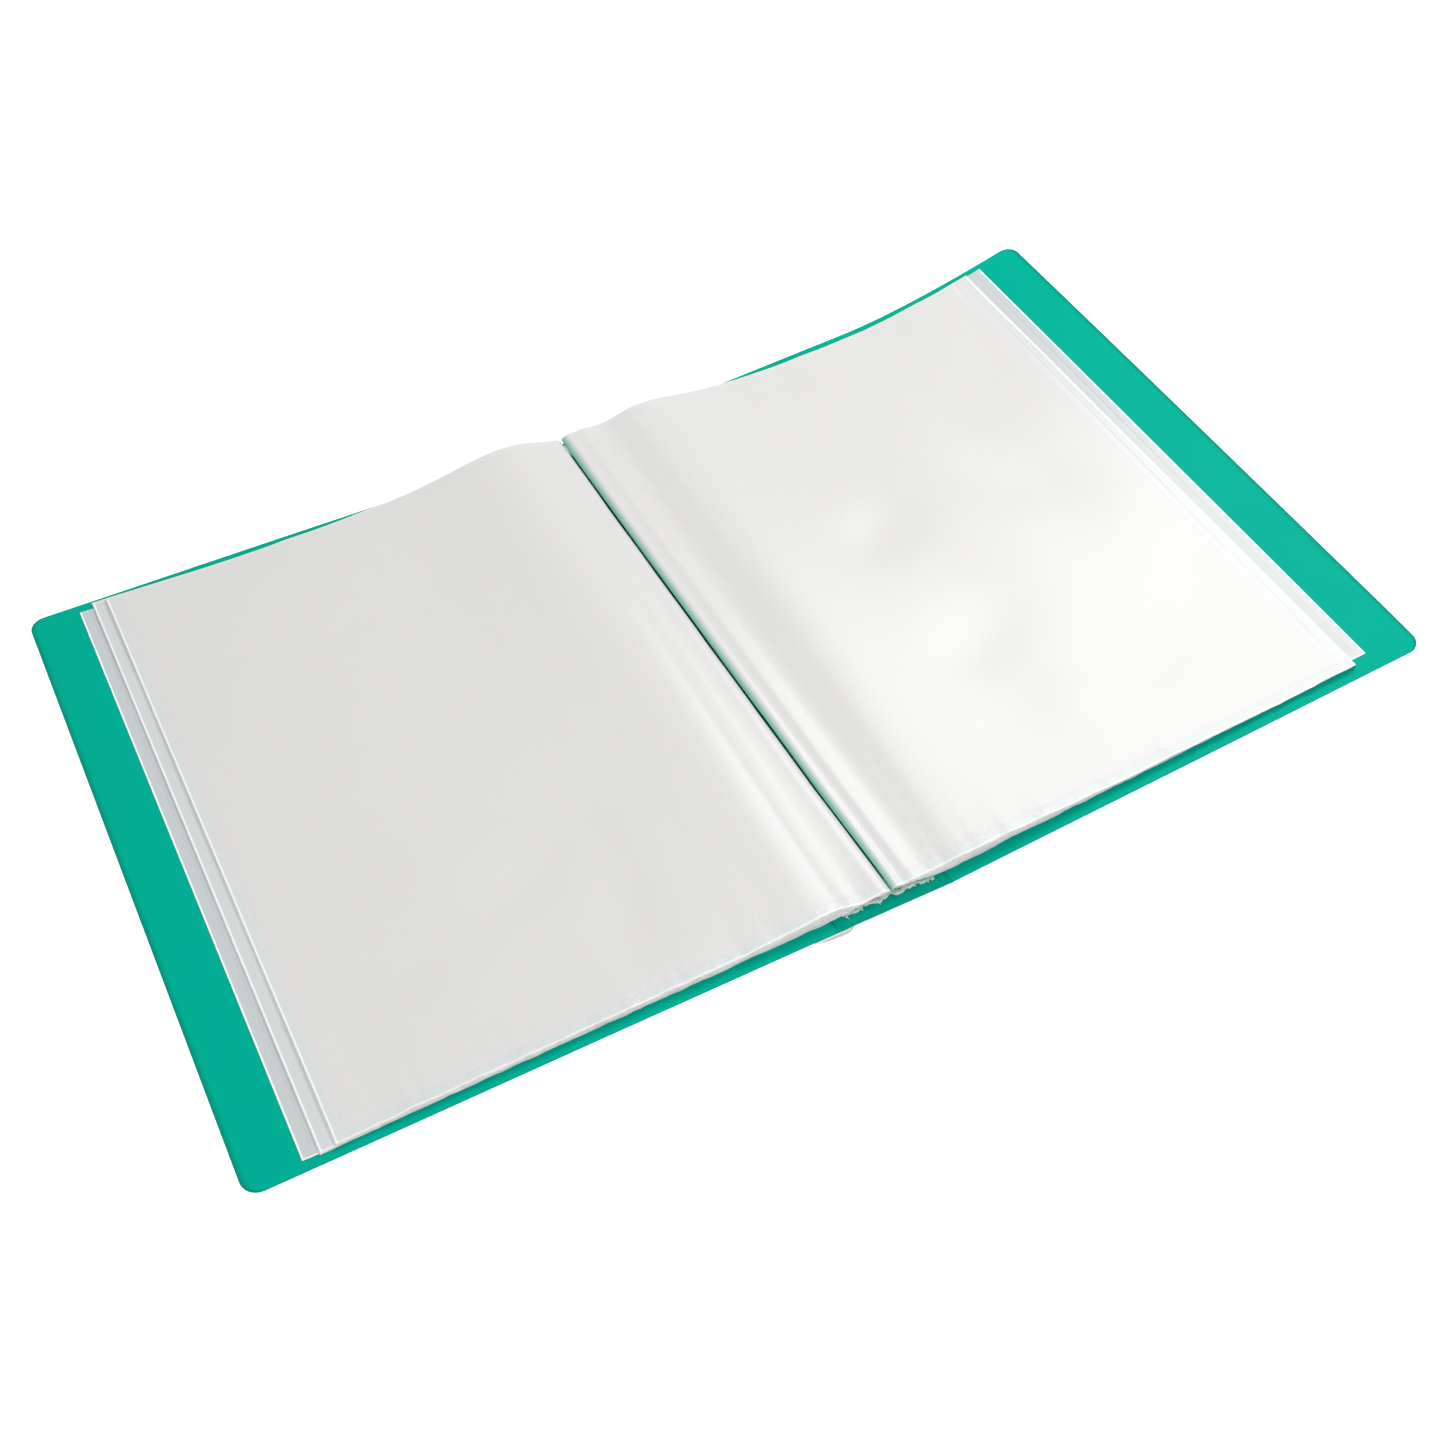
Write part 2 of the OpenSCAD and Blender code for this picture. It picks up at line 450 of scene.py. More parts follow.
# the top pocket's path from the gutter outwards: distance from the middle,
# then its height over the cover at the near and at the far end
leftPath = [
    (-3.2, 3.6, 9.4), (-4.0, 4.9, 11.3), (-6.5, 5.45, 12.3), (-10.5, 5.0, 12.9), (-15, 4.75, 13.9),
    (-19.5, 5.5, 15.3), (-24, 6.8, 16.3), (-30, 7.2, 17.0), (-38, 6.8, 17.0),
    (-46, 6.1, 16.0), (-54, 5.8, 14.3), (-62, 5.4, 12.3), (-75, 4.9, 9.6), (-90, 4.4, 7.1), (-108, 4.0, 5.4),
    (-130, 3.6, 4.2), (-160, 3.3, 3.4), (-200, 3.0, 3.0), (-245, 2.9, 2.9)]
rightPath = [
    (-2.2, 4.4, 10.2), (-0.9, 5.5, 12.5), (0.8, 5.6, 13.4), (2.6, 5.2, 13.4), (5.2, 5.5, 13.6), (7.4, 5.9, 13.9),
    (11, 5.8, 13.5), (15, 5.5, 13.2), (19.5, 5.8, 13.6), (25, 6.5, 15.1), (32, 6.9, 16.4), (40, 6.8, 16.2),
    (48.5, 6.5, 14.7), (57, 6.2, 12.5), (66, 5.8, 10.3),
    (76, 5.3, 8.2), (88, 4.7, 6.3), (103, 4.1, 4.8), (120, 3.6, 3.8), (140, 3.2, 3.2), (164, 3.0, 3.0),
    (200, 2.9, 2.9), (245, 2.9, 2.9)]
coverPath = [(15, 1.95), (19, 1.9), (25, 1.3), (34, 0.9), (60, 0.68), (110, 0.62), (245, 0.6)]

pocketShape = {
    "filmThick": 0.07,
    "rootHeight": 1.95,          # where the films leave their seam, over the spine's middle plane
    "weldStrip": 4.2,
    "mouthDepth": 32.0,
    "mouthGap": 0.5,
    "leftEdges": ([0, 1, 6, 7, 19], [237.6, 231.5, 231.0, 225.8, 225.0]),
    "rightEdges": ([0, 1, 19], [234.8, 227.2, 225.4]),
    "wrinkle": 0.45,
    "topLevel": 19,              # level 0 lies on its cover, this one is on top
    "seams": (15.0, 5.0),        # of the lower and the upper bundle of a side
    "nearRoot": 5.1,             # near and far end of the films at their seam
    "farRoot": 300.6,
    "leftNear": ([0, 1, 19], [4.4, 3.6, 3.8]),
    "leftFar": ([0, 1, 6, 19], [304.9, 308.2, 306.5, 305.0]),
    "rightNear": ([0, 1, 19], [9.0, 6.0, 4.8]),
    "rightFar": ([0, 19], [306.3, 304.6]),
    "width": 232.0,              # used for the weld strips' places only
    "height": 297.0,
    "bendLength": 80,
}


def noiseLine(seed, count=64):
    table = np.random.default_rng(seed).uniform(-1, 1, count)

    def read(x):
        base = np.floor(x).astype(int)
        part = x - base
        part = part * part * (3 - 2 * part)
        return table[base % count] * (1 - part) + table[(base + 1) % count] * part
    return read


def noiseField(seed, count=32):
    table = np.random.default_rng(seed).uniform(-1, 1, (count, count))

    def read(x, y):
        i, j = np.floor(x).astype(int), np.floor(y).astype(int)
        a, b = x - i, y - j
        a, b = a * a * (3 - 2 * a), b * b * (3 - 2 * b)
        low = table[i % count, j % count] * (1 - a) + table[(i + 1) % count, j % count] * a
        high = table[i % count, (j + 1) % count] * (1 - a) + table[(i + 1) % count, (j + 1) % count] * a
        return low * (1 - b) + high * b
    return read


def smoothPath(knots, shares, steps=8):
    padded = np.concatenate([2 * knots[:, :1] - knots[:, 1:2], knots, 2 * knots[:, -1:] - knots[:, -2:-1]], axis=1)
    pieces = []
    for k in range(knots.shape[1] - 1):
        p0, p1, p2, p3 = (padded[:, k + i] for i in range(4))
        last = k == knots.shape[1] - 2
        for u in np.linspace(0, 1, steps + 1)[:None if last else -1]:
            pieces.append(0.5 * (2 * p1 + (p2 - p0) * u + (2 * p0 - 5 * p1 + 4 * p2 - p3) * u ** 2
                                 + (3 * p1 - p0 - 3 * p2 + p3) * u ** 3))
    dense = np.stack(pieces, axis=1)
    lengths = np.concatenate([np.zeros((len(dense), 1)),
                              np.cumsum(np.linalg.norm(np.diff(dense, axis=1), axis=2), axis=1)], axis=1)
    out = np.empty((len(dense), len(shares), 2))
    for r in range(len(dense)):
        at = shares * lengths[r, -1]
        out[r, :, 0] = np.interp(at, lengths[r], dense[r, :, 0])
        out[r, :, 1] = np.interp(at, lengths[r], dense[r, :, 1])
    return out


def cutPath(path, edge):
    path = np.array(path, float)
    side = -1 if edge < 0 else 1
    kept = path[path[:, 0] * side < abs(edge) - 3]
    end = [edge] + [np.interp(abs(edge), path[:, 0] * side, path[:, i]) for i in range(1, path.shape[1])]
    return np.vstack([kept, end])


# shallow dents and swells in the film: place, half sizes, turn in degrees, height
leftDents = [
    (-185, 120, 16, 30, 20, -0.9), (-150, 95, 22, 14, -30, 0.7), (-120, 78, 26, 13, 25, -0.8),
    (-95, 40, 15, 26, -20, -0.9), (-70, 62, 14, 30, -10, 0.8), (-160, 42, 24, 14, 15, 0.6),
    (-205, 55, 12, 34, 5, -0.5)]
rightDents = [
    (96, 175, 24, 16, 35, -0.8), (128, 170, 20, 32, 10, 0.6), (95, 95, 30, 17, 25, -1.0),
    (178, 168, 16, 26, 30, -0.9), (150, 120, 28, 40, 10, 0.5), (160, 52, 32, 15, 20, -1.2),
    (200, 80, 16, 32, -10, -0.8), (120, 45, 20, 17, 0, 0.9), (214, 30, 12, 16, 30, -0.8)]


def dentHeight(dents, x, y):
    total = np.zeros_like(x)
    for cx, cy, rx, ry, angle, height in dents:
        a = math.radians(angle)
        dx, dy = x - cx, y - cy
        u, v = (dx * math.cos(a) + dy * math.sin(a)) / rx, (dy * math.cos(a) - dx * math.sin(a)) / ry
        total += height * np.exp(-(u * u + v * v))
    return total


def pocketPlaces(columns, rows, strip):
    width, height = pocketShape["width"], pocketShape["height"]
    gutter = 0.16      # this share beside the seam gets finer columns
    inner = np.concatenate([np.linspace(0, gutter, int(columns * 0.3)), np.linspace(gutter, 1, columns)[1:]])
    edgeMm = [0, 0.55, 0.8, strip - 0.9, strip - 0.35, strip, strip + 0.35, strip + 0.9, strip + 3]
    across = np.concatenate([inner[inner < 1 - (strip + 5) / width], 1 - np.array(edgeMm[::-1]) / width])
    nearMm = [0, 0.5, 0.75, strip - 0.9, strip - 0.35, strip, strip + 0.35, strip + 0.9, strip + 3]
    up = np.linspace(0, 1, rows)
    along = np.concatenate([np.array(nearMm) / height, up[(up > (strip + 5) / height) & (up < 0.985)],
                            [0.99, 0.997, 1.0]])
    return across, along, np.array(edgeMm[::-1]), np.array(nearMm)


def gutterLean(along):
    return np.interp(along, [0, 0.05, 0.19, 0.49, 0.79, 1], [3.2, 2.9, 1.6, 0, -1.4, -1.9])


def pocketMiddle(side, level, across, along):
    shape = pocketShape
    lift = (level / shape["topLevel"]) ** 0.75
    edges = shape["leftEdges"] if side < 0 else shape["rightEdges"]
    edge = side * np.interp(level, *edges)
    topKnots = cutPath(leftPath if side < 0 else rightPath, edge)
    lowKnots = cutPath([(side * x, h) for x, h in coverPath], edge)
    rows = len(along)
    swell = along ** 0.8
    knots = np.stack([np.repeat(topKnots[None, :, 0], rows, 0),
                      topKnots[None, :, 1] * (1 - swell[:, None]) + topKnots[None, :, 2] * swell[:, None]], axis=2)
    lowerSeam, upperSeam = shape["seams"]
    root = np.repeat(np.array([[[side * upperSeam, shape["rootHeight"]]]]), rows, 0)
    top = smoothPath(np.concatenate([root, knots], axis=1), across)
    low = smoothPath(np.repeat(lowKnots[None], rows, 0), across)
    seam = side * (lowerSeam if level < 10 else upperSeam)
    path = low * (1 - lift) + top * lift
    fall = np.clip(1 - across / 0.14, 0, 1) ** 2
    offset = np.array([seam, shape["rootHeight"]])[None, None, :] - path[:, :1]
    path = path + offset * fall[None, :, None]
    lean = gutterLean(along)[:, None] + (0.75 * np.exp(-along[:, None] / 0.14) if side < 0 else 0)
    x = path[..., 0] + lean * np.exp(-(path[..., 0] / 14) ** 2) * np.clip((path[..., 1] - 2.2) / 2.2, 0, 1)
    share = across[None, :]
    nearEnds, farEnds = ("leftNear", "leftFar") if side < 0 else ("rightNear", "rightFar")
    near = shape["nearRoot"] + (np.interp(level, *shape[nearEnds]) - shape["nearRoot"]) * share
    far = shape["farRoot"] + (np.interp(level, *shape[farEnds]) - shape["farRoot"]) * share
    y = near * (1 - along[:, None]) + far * along[:, None]
    t = y / (2 * halfHeight)
    cover = backHeight(x, t) if side > 0 else frontHeight(x, t)
    z = path[..., 1] + cover + sheetWave(side, x, y)
    # swells, near-edge wrinkles and a little wave at the mouth, shared by all films so that they stay nested
    dents = dentHeight(leftDents if side < 0 else rightDents, x, y)
    broad = noiseField(11 + side)(x / 38 + 50, y / 47 + 50) * 0.45
    calm = np.clip((np.abs(x) - 50) / 40, 0, 1)
    z = z + lift * calm * (dents + broad)
    shift = 1.1 * level / shape["topLevel"]
    fine = noiseLine(21 + side)(np.abs(x) / 4.3 + shift * 2) * 0.5 + noiseLine(31 + side)(np.abs(x) / 11 + shift)
    z = z + lift * shape["wrinkle"] * fine * np.exp(-(y - near) / 9.0)
    mouthWave = noiseLine(41 + side)(np.abs(x) / 13 + shift)
    z = z + lift * 0.3 * mouthWave * np.exp(-(far - y) / 20.0) * np.clip((np.abs(x) - 60) / 30, 0, 1)
    y = y + 0.35 * noiseLine(51 + level)(np.abs(x) / 6.0) * (1 - along[:, None]) ** 30
    return np.stack([x, y - halfHeight, z + creaseZ], axis=2)


def makePocket(number):
    side = -1 if number <= 20 else 1
    level = number - 1 if number <= 20 else 40 - number
    shown = level == pocketShape["topLevel"]
    columns, rows = (150, 120) if shown else ((70, 60) if level in (0, 1, 6, 13, 18) else (44, 26))
    strip = pocketShape["weldStrip"]
    across, along, edgeMm, nearMm = pocketPlaces(columns, rows, strip)
    middle = pocketMiddle(side, level, across, along)
    normals = gridNormals(middle)
    rowCount, columnCount = middle.shape[:2]
    farAway = 99.0
    fromEdge = np.full(columnCount, farAway)
    fromEdge[-len(edgeMm):] = edgeMm
    fromNear = np.full(rowCount, farAway)
    fromNear[:len(nearMm)] = nearMm
    distance = np.minimum(fromEdge[None, :], fromNear[:, None])
    weld = (distance < strip - 0.2).astype(float)
    groove = np.exp(-((distance - strip) / 0.4) ** 2)
    # edge marks the cut edges and the mouth, where a painted highlight is drawn in white
    edge = (distance < 0.6).astype(float)
    edge[-1, :] = 1
    veil = (0.42 if level == 0 else 0.14 if side < 0 and level < 7 else 0.0) * (distance > 0.6)
    # painted highlight: emission on the cut edges of the leaves whose edges show
    glowOf = {0: 1.0, 6: 0.5 * (side < 0), pocketShape["topLevel"]: 0.5}.get(level, 0.0)
    glow = (fromEdge[None, :] < 0.6) * glowOf + (fromNear[:, None] < 0.6) * 0.3 * glowOf
    half = pocketShape["filmThick"] / 2 * (1 - 0.45 * weld)
    mouthRow = (along > 0.985) * np.interp(along, [0.985, 1], [0, 1])
    gaping = np.ones(columnCount)      # 0 where the two films are fused
    gaping[:3] = gaping[-len(edgeMm):] = 0
    half = half + pocketShape["mouthGap"] * 0.12 * mouthRow[:, None] * gaping[None, :]
    up = half - 0.10 * groove * (1 - weld)
    top = middle + normals * up[..., None]
    bottom = middle - normals * half[..., None]
    count = rowCount * columnCount
    points = [top.reshape(-1, 3), bottom.reshape(-1, 3)]
    weldValues, edgeValues, veilValues = [weld.ravel()] * 2, [edge.ravel()] * 2, [veil.ravel()] * 2
    glowValues = [glow.ravel()] * 2
    facing = np.cross(np.gradient(middle, axis=1), np.gradient(middle, axis=0))[..., 2].mean() > 0
    faces = gridFaces(rowCount, columnCount, 0, not facing) + gridFaces(rowCount, columnCount, count, facing)
    rim = gridRim(rowCount, columnCount)
    mouth = set(range((rowCount - 1) * columnCount, rowCount * columnCount))
    for a, b in zip(rim, rim[1:] + rim[:1]):
        if a in mouth and b in mouth:
            continue
        quad = (a, a + count, b + count, b)
        faces.append(quad if facing else quad[::-1])
    # the open mouth: an inner skin that runs a little way down between the two films
    depths = [0.004, 0.03, pocketShape["mouthDepth"] / pocketShape["height"]]
    pocketRows = []
    for sign, order in ((1, depths), (-1, depths[::-1])):
        for depth in order:
            row = np.array([[np.interp(1 - depth, along, middle[:, c, i]) for i in range(3)]
                            for c in range(columnCount)])
            taper = 0.5 if depth > 0.05 else 1
            pocketRows.append(row + normals[-1] * sign * 0.2 * pocketShape["filmThick"] * taper)
    start = 2 * count
    points += pocketRows
    for _ in pocketRows:
        weldValues.append(np.zeros(columnCount))
        edgeValues.append(np.zeros(columnCount))
        veilValues.append(veil[-1])
        glowValues.append(np.zeros(columnCount))
    lastRow = (rowCount - 1) * columnCount
    closed = [c for c in range(columnCount) if gaping[c] == 0]

    def ringIndex(step, c):
        if step == 0 or (c in closed and step <= 3):
            return lastRow + c
        if step == 7 or c in closed:
            return count + lastRow + c
        return start + (step - 1) * columnCount + c

    for step in range(7):
        for c in range(columnCount - 1):
            quad = []
            for index in (ringIndex(step, c), ringIndex(step + 1, c),
                          ringIndex(step + 1, c + 1), ringIndex(step, c + 1)):
                if index not in quad:
                    quad.append(index)
            if len(quad) > 2:
                faces.append(tuple(quad[::-1]) if facing else tuple(quad))
    allPoints = np.vstack(points)
    used = sorted({i for f in faces for i in f})
    remap = {old: new for new, old in enumerate(used)}
    faces = [tuple(remap[i] for i in f) for f in faces]
    alongShare = (allPoints[used][:, 1] + halfHeight - 5.1) / 296
    acrossBook = allPoints[used][:, 0] - gutterLean(alongShare)
    rootShare = np.concatenate([np.tile(across, 2 * rowCount), np.tile(across, len(pocketRows))])[used]
    # painted light: mint tint where the teal spine shines through the films at the gutter
    fold = np.interp(rootShare, [0.026, 0.036] if side > 0 else [0.005, 0.013], [0.9, 0])
    if shown and side > 0:
        fold = np.maximum(fold, np.interp(acrossBook, [-1.9, -0.6, 0.4], [0.8, 0.25, 0]))
    elif shown:
        fold = np.maximum(fold, np.interp(acrossBook, [-3.7, -2.9], [0, 0.35]))
    pucker = np.exp(-np.clip(allPoints[used][:, 1] + halfHeight - 4, 0, 300) / 7.0)
    layers = {"weld": np.concatenate(weldValues)[used], "edge": np.concatenate(edgeValues)[used],
              "fold": fold, "pucker": pucker,
              "veil": np.concatenate(veilValues)[used], "glow": np.concatenate(glowValues)[used]}
    return makeObject(f"filmPocket{number:02d}", allPoints[used], faces, filmMaterial, layers, 30)


def bendWithSpine(piece):
    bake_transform(piece)


bodyOf = {node: body for body, nodes in frame["record"]["behaviour"]["bodies"].items() for node in nodes}
for number in range(1, 41):
    node = f"pocket_{number:02d}"
    body = bodyOf[node]
    pocket = makePocket(number)
    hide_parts(node)
    bendWithSpine(pocket)
print("pockets made")


# seams, the fused film that holds each bundle to the spine
seamLook = {
    "reach": 2.4,            # the fused film runs this far past the plain bar at each end, mm
    "width": 3.0,
    "markPitch": 3.2,
    "markSize": 1.5,
    "crumbSize": 0.5,
    "strandLength": 1.5,
    "burrsPerEnd": 11,
    "tailDepth": 8.0,        # how far the ragged tail reaches back over the seams
    "tailThick": 0.22,
}


def makeSeamTree():
    tree = bpy.data.node_groups.new("seamWeld", "GeometryNodeTree")
    tree.interface.new_socket("Geometry", in_out="INPUT", socket_type="NodeSocketGeometry")
    for name in ("Length", "Width", "Height", "Mark pitch", "Mark size", "Crumb size", "Strand length"):
        tree.interface.new_socket(name, in_out="INPUT", socket_type="NodeSocketFloat")
    tree.interface.new_socket("Seed", in_out="INPUT", socket_type="NodeSocketInt")
    tree.interface.new_socket("Material", in_out="INPUT", socket_type="NodeSocketMaterial")
    tree.interface.new_socket("Geometry", in_out="OUTPUT", socket_type="NodeSocketGeometry")
    enter = addNode(tree, "NodeGroupInput").outputs
    half = addNode(tree, "ShaderNodeMath", {1: 0.5}, {0: enter["Length"]}, operation="MULTIPLY").outputs[0]
    back = addNode(tree, "ShaderNodeMath", {1: -0.5}, {0: enter["Length"]}, operation="MULTIPLY").outputs[0]
    start = addNode(tree, "ShaderNodeCombineXYZ", {}, {"Y": back})
    end = addNode(tree, "ShaderNodeCombineXYZ", {}, {"Y": half})
    line = addNode(tree, "GeometryNodeCurvePrimitiveLine", {}, {"Start": start.outputs[0], "End": end.outputs[0]})
    outline = addNode(tree, "GeometryNodeCurvePrimitiveQuadrilateral", {},
                      {"Width": enter["Width"], "Height": enter["Height"]})
    rounding = addNode(tree, "ShaderNodeMath", {1: 0.35}, {0: enter["Height"]}, operation="MULTIPLY").outputs[0]
    rounded = addNode(tree, "GeometryNodeFilletCurve", {"Limit Radius": True, "Count": 3},
                      {"Curve": outline.outputs[0], "Radius": rounding}, mode="POLY")
    bar = addNode(tree, "GeometryNodeCurveToMesh", {"Fill Caps": True},
                  {"Curve": line.outputs[0], "Profile Curve": rounded.outputs[0]})
    # the sealing jaw's marks along the bar
    pitches = addNode(tree, "ShaderNodeMath", {}, {0: enter["Length"], 1: enter["Mark pitch"]}, operation="DIVIDE")
    count = addNode(tree, "ShaderNodeMath", {1: 0.5}, {0: pitches.outputs[0]}, operation="SUBTRACT")
    step = addNode(tree, "ShaderNodeCombineXYZ", {}, {"Y": enter["Mark pitch"]})
    top = addNode(tree, "ShaderNodeMath", {1: 0.5}, {0: enter["Height"]}, operation="MULTIPLY").outputs[0]
    inset = addNode(tree, "ShaderNodeMath", {1: 1.2 * mm}, {0: back}, operation="ADD")
    first = addNode(tree, "ShaderNodeCombineXYZ", {}, {"Y": inset.outputs[0], "Z": top})
    places = addNode(tree, "GeometryNodeMeshLine", {},
                     {"Count": count.outputs[0], "Offset": step.outputs[0], "Start Location": first.outputs[0]})
    mark = addNode(tree, "GeometryNodeMeshIcoSphere", {"Subdivisions": 1}, {"Radius": enter["Mark size"]})
    marks = addNode(tree, "GeometryNodeInstanceOnPoints", {"Scale": (0.8, 0.45, 0.12)},
                    {"Points": places.outputs[0], "Instance": mark.outputs[0]})
    # burrs at the given points: crumbs and, at every third, a drawn strand
    lean = addNode(tree, "FunctionNodeRandomValue", {0: (-1.2, -1.2, -3.1), 1: (1.2, 1.2, 3.1)},
                   {"Seed": enter["Seed"]}, data_type="FLOAT_VECTOR")
    size = addNode(tree, "FunctionNodeRandomValue", {0: (0.5, 0.6, 0.35), 1: (1.5, 1.3, 0.9)},
                   {"Seed": enter["Seed"]}, data_type="FLOAT_VECTOR")
    crumb = addNode(tree, "GeometryNodeMeshIcoSphere", {"Subdivisions": 1}, {"Radius": enter["Crumb size"]})
    crumbs = addNode(tree, "GeometryNodeInstanceOnPoints", {},
                     {"Points": enter["Geometry"], "Instance": crumb.outputs[0], "Rotation": lean.outputs[0],
                      "Scale": size.outputs[0]})
    every = addNode(tree, "GeometryNodeInputIndex")
    third = addNode(tree, "ShaderNodeMath", {1: 3.0}, {0: every.outputs[0]}, operation="MODULO")
    strand = addNode(tree, "GeometryNodeMeshCone",
                     {"Vertices": 5, "Radius Top": 0.05 * mm, "Radius Bottom": 0.24 * mm},
                     {"Depth": enter["Strand length"]})
    chosen = addNode(tree, "FunctionNodeCompare", {1: 0.5}, {0: third.outputs[0]}, operation="LESS_THAN")
    swing = addNode(tree, "FunctionNodeRandomValue", {0: (0.9, -0.5, -0.6), 1: (1.9, 0.5, 0.6)},
                    {"Seed": enter["Seed"]}, data_type="FLOAT_VECTOR")
    strands = addNode(tree, "GeometryNodeInstanceOnPoints", {},
                      {"Points": enter["Geometry"], "Selection": chosen.outputs[0], "Instance": strand.outputs[0],
                       "Rotation": swing.outputs[0]})
    join = addNode(tree, "GeometryNodeJoinGeometry")
    for part in (strands, crumbs, marks, bar):
        tree.links.new(part.outputs[0], join.inputs[0])
    real = addNode(tree, "GeometryNodeRealizeInstances", {}, {"Geometry": join.outputs[0]})
    finished = addNode(tree, "GeometryNodeSetMaterial", {},
                       {"Geometry": real.outputs[0], "Material": enter["Material"]})
    addNode(tree, "NodeGroupOutput", {}, {"Geometry": finished.outputs[0]})
    return tree


def burrPlaces(centre, look, seed):
    draw = np.random.default_rng(seed)
    places = []
    for end in (-1, 1):
        for k in range(look["burrsPerEnd"]):
            x = centre + draw.uniform(-5, 5)
            y = end * (seamEnd + look["reach"] - draw.uniform(-0.5, 0.9))
            places.append((x, y, spineHigh + webHeight(x) + draw.uniform(-0.1, 0.5)))
    return places


def webHeight(x):
    return 0.5 + 1.5 * np.abs(np.sin(np.pi * (np.asarray(x, float) - 5) / 10)) * (np.abs(x) < 15)


def makeSeam(number, tree, look):
    centre = seamCentres[number]
    middleZ = (seamLow + seamHigh) / 2
    mesh = bpy.data.meshes.new("burrPlaces")
    burrs = burrPlaces(centre, look, 60 + number)
    mesh.from_pydata([((x - centre) * mm, y * mm, (z - middleZ) * mm) for x, y, z in burrs], [], [])
    base = bpy.data.objects.new("seamBase", mesh)
    bpy.context.scene.collection.objects.link(base)
    weld = base.modifiers.new("weld", "NODES")
    weld.node_group = tree
    values = {"Length": 2 * (seamEnd + look["reach"]) * mm, "Width": look["width"] * mm,
              "Height": (seamHigh - seamLow) * mm,
              "Mark pitch": look["markPitch"] * mm, "Mark size": look["markSize"] * mm,
              "Crumb size": look["crumbSize"] * mm, "Strand length": look["strandLength"] * mm,
              "Seed": 70 + number, "Material": weldMaterial}
    for item in tree.interface.items_tree:
        if item.in_out == "INPUT" and item.name in values:
            weld[item.identifier] = values[item.name]
    made = bpy.data.meshes.new_from_object(base.evaluated_get(bpy.context.evaluated_depsgraph_get()))
    bpy.data.objects.remove(base)
    made.transform(Matrix.Translation((centre * mm, 0, middleZ * mm)))
    made.name = f"seamWeld{number}"
    piece = bpy.data.objects.new(made.name, made)
    bpy.context.scene.collection.objects.link(piece)
    return piece


seamTree = makeSeamTree()
for number in seamCentres:
    seamWeld = makeSeam(number, seamTree, seamLook)
    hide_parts(f"seam_{number}")
    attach(seamWeld, "spine")


# the tail of fused film that bridges the seams at each end, with a ragged edge
def makeWeb(name, end):
    xs = np.linspace(-21, 20, 90)
    draw = noiseLine(81 + end)
    ragged = 0.45 * draw(xs / 1.1 + 40) + 0.5 * draw(xs / 3.1 + 9)
    outer = seamEnd + seamLook["reach"] + 0.1
    rows = np.linspace(0, 1, 8)
    grid = np.zeros((len(rows), len(xs), 3))
    for r, share in enumerate(rows):
        depth = seamLook["tailDepth"]
        reach = outer - depth + share * (depth + ragged)
        grid[r, :, 0] = xs
        grid[r, :, 1] = end * reach
        grid[r, :, 2] = (spineHigh + 0.3 + (webHeight(xs) - 0.2) * (0.85 + 0.15 * share)
                         + 0.25 * share * draw(xs / 2.3))
    return closedSheet(name, grid, seamLook["tailThick"], weldMaterial)


for name, end in (("nearSeamTail", -1), ("farSeamTail", 1)):
    tail = makeWeb(name, end)
    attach(tail, "spine")
print("seams made")


# label sleeve and its card, under the spine
sleeveShape = {
    "thick": 0.2,
    "foldHalf": 0.6,
    "lowerFilm": [(-36, 2.72), (-34, 1.7), (-30, 0.62), (-25, 0.2), (-19, 0.1), (0, 0.1), (19, 0.1), (22.2, 0.7),
                  (23.8, 2.1), (24.3, 2.72)],
    "proudFrom": [-20, -13],       # left of this the near end reaches the sheet's edge
    "upperFilm": [(24.3, 2.86), (0, 2.88), (-25, 2.86), (-36, 2.84)],
}


def makeSleeve(shape):
    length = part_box("label_sleeve")[1].y / mm
    lower, upper = shape["lowerFilm"], shape["upperFilm"]
    path = []
    for knots in (lower, upper):
        for (xa, za), (xb, zb) in zip(knots, knots[1:]):
            count = max(2, int(abs(xb - xa) / 1.5))
            path += [(xa + (xb - xa) * k / count, za + (zb - za) * k / count) for k in range(count)]
    path = np.array(path)
    along = np.roll(path, -1, axis=0) - np.roll(path, 1, axis=0)
    inward = np.stack([-along[:, 1], along[:, 0]], axis=1)
    inward /= np.linalg.norm(inward, axis=1, keepdims=True)
    inner = path + inward * shape["thick"] / 2
    outer = path - inward * shape["thick"] / 2
    outer[:, 1] = np.clip(outer[:, 1], 0.0, spineLow - 0.02)
    ys = np.linspace(-1, 1, 61)
    points, n = [], len(path)
    proud = np.interp(path[:, 0], shape["proudFrom"], [halfHeight - length + 0.5, 0])
    for loop in (outer, inner):
        for y in ys:
            points += [(x, y * (length + extra * (y < 0)), z) for (x, z), extra in zip(loop, proud)]
    faces, rows = [], len(ys)
    for layer, flip in ((0, False), (1, True)):
        base = layer * rows * n
        for r in range(rows - 1):
            for c in range(n):
                following = (c + 1) % n
                quad = (base + r * n + c, base + r * n + following,
                        base + (r + 1) * n + following, base + (r + 1) * n + c)
                faces.append(quad[::-1] if flip else quad)
    for r, flip in ((0, True), (rows - 1, False)):
        for c in range(n):
            following = (c + 1) % n
            quad = (r * n + c, r * n + following, rows * n + r * n + following, rows * n + r * n + c)
            faces.append(quad[::-1] if flip else quad)
    # edge marks the sleeve's cut ends, where a painted highlight is drawn in white
    edge = np.zeros(len(points))
    for layer in (0, 1):
        for r in (0, rows - 1):
            edge[layer * rows * n + r * n:layer * rows * n + (r + 1) * n] = 1
    return makeObject("labelSleeve", points, faces, sleeveMaterial, {"edge": edge})


labelSleeve = makeSleeve(sleeveShape)
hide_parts("label_sleeve")
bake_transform(labelSleeve)

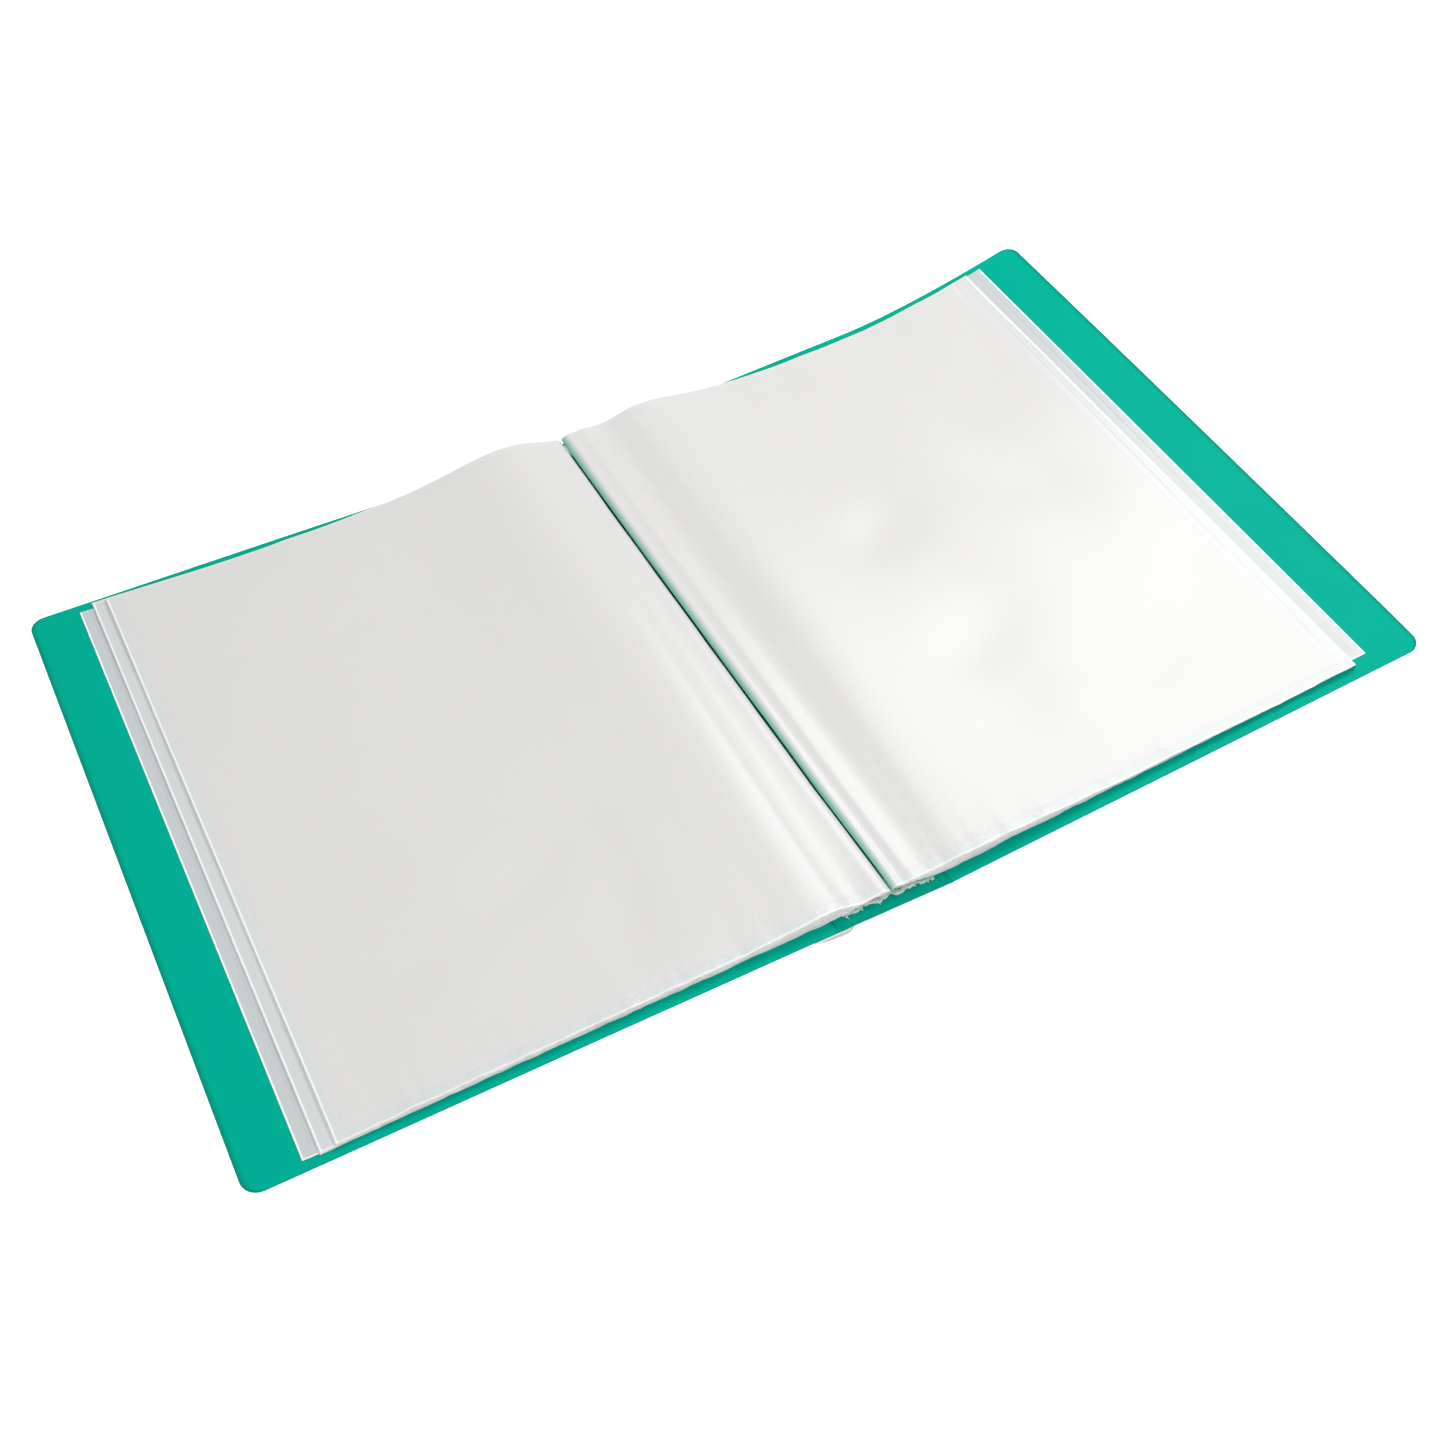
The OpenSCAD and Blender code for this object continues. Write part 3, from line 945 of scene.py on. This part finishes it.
cardLow, cardHigh = (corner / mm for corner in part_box("label_card"))
cardX = np.linspace(cardLow.x, cardHigh.x, 25)
cardY = np.linspace(cardLow.y, cardHigh.y, 60)
cardBow = 0.12 * np.cos(np.pi * cardX / (cardHigh.x - cardLow.x))
cardZ = (cardLow.z + cardHigh.z) / 2 + cardBow[None, :]
cardGrid = np.stack(np.broadcast_arrays(cardX[None, :], cardY[:, None], cardZ), axis=2).astype(float)
labelCard = closedSheet("labelCard", cardGrid, cardHigh.z - cardLow.z, cardMaterial, 0.05)
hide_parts("label_card")
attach(labelCard, "label_card")
print("sleeve and card made")


# floor and light
stageLook = {"floorSize": 8.0, "floorZ": -0.0002, "floorColour": "F4F5F5", "glow": 0.75}


def makeStage(look):
    material, tree = newMaterial("paleFloor")
    matt = addNode(tree, "ShaderNodeBsdfDiffuse", {"Color": colour(look["floorColour"])})
    glow = addNode(tree, "ShaderNodeEmission", {"Color": (1, 1, 1, 1), "Strength": look["glow"]})
    both = addNode(tree, "ShaderNodeAddShader", {}, {0: matt.outputs[0], 1: glow.outputs[0]})
    addNode(tree, "ShaderNodeOutputMaterial", {}, {"Surface": both.outputs[0]})
    half, z = look["floorSize"] / 2, look["floorZ"]
    mesh = bpy.data.meshes.new("floor")
    mesh.from_pydata([(-half, -half, z), (half, -half, z), (half, half, z), (-half, half, z)], [], [(0, 1, 2, 3)])
    mesh.materials.append(material)
    floor = bpy.data.objects.new("floor", mesh)
    bpy.context.scene.collection.objects.link(floor)


makeStage(stageLook)

# soft boxes: place, aim, size in metres, power in watts, colour
lightSetup = {
    "keyBox": ((0.66, 0.38, 1.0), (0.05, 0, 0), 0.6, 7.5, "FFFFFF"),
    "frontBox": ((-0.4, -1.5, 1.2), (0, 0, 0), 1.0, 14.0, "FFFFFF"),
}
for name, (place, aim, size, power, tint) in lightSetup.items():
    data = bpy.data.lights.new(name, "AREA")
    data.shape = "SQUARE"
    data.size = size
    data.energy = power
    data.color = colour(tint)[:3]
    light = bpy.data.objects.new(name, data)
    bpy.context.scene.collection.objects.link(light)
    light.location = place
    light.rotation_euler = (Vector(aim) - Vector(place)).to_track_quat("-Z", "Y").to_euler()

studioLook = {"walls": "F5F5F5", "fill": 0.535, "seenWhite": 1.0}


def makeWorld(look):
    world = bpy.data.worlds.new("studio")
    world.use_nodes = True
    tree = world.node_tree
    tree.nodes.clear()
    ray = addNode(tree, "ShaderNodeLightPath")
    fill = addNode(tree, "ShaderNodeBackground", {"Color": colour(look["walls"]), "Strength": look["fill"]})
    seen = addNode(tree, "ShaderNodeBackground", {"Color": (1, 1, 1, 1), "Strength": look["seenWhite"]})
    mix = addNode(tree, "ShaderNodeMixShader", {}, {0: ray.outputs["Is Camera Ray"], 1: fill.outputs[0],
                                                    2: seen.outputs[0]})
    addNode(tree, "ShaderNodeOutputWorld", {}, {"Surface": mix.outputs[0]})
    bpy.context.scene.world = world


makeWorld(studioLook)
bpy.context.scene.view_settings.view_transform = "Standard"
print("stage and lights made")
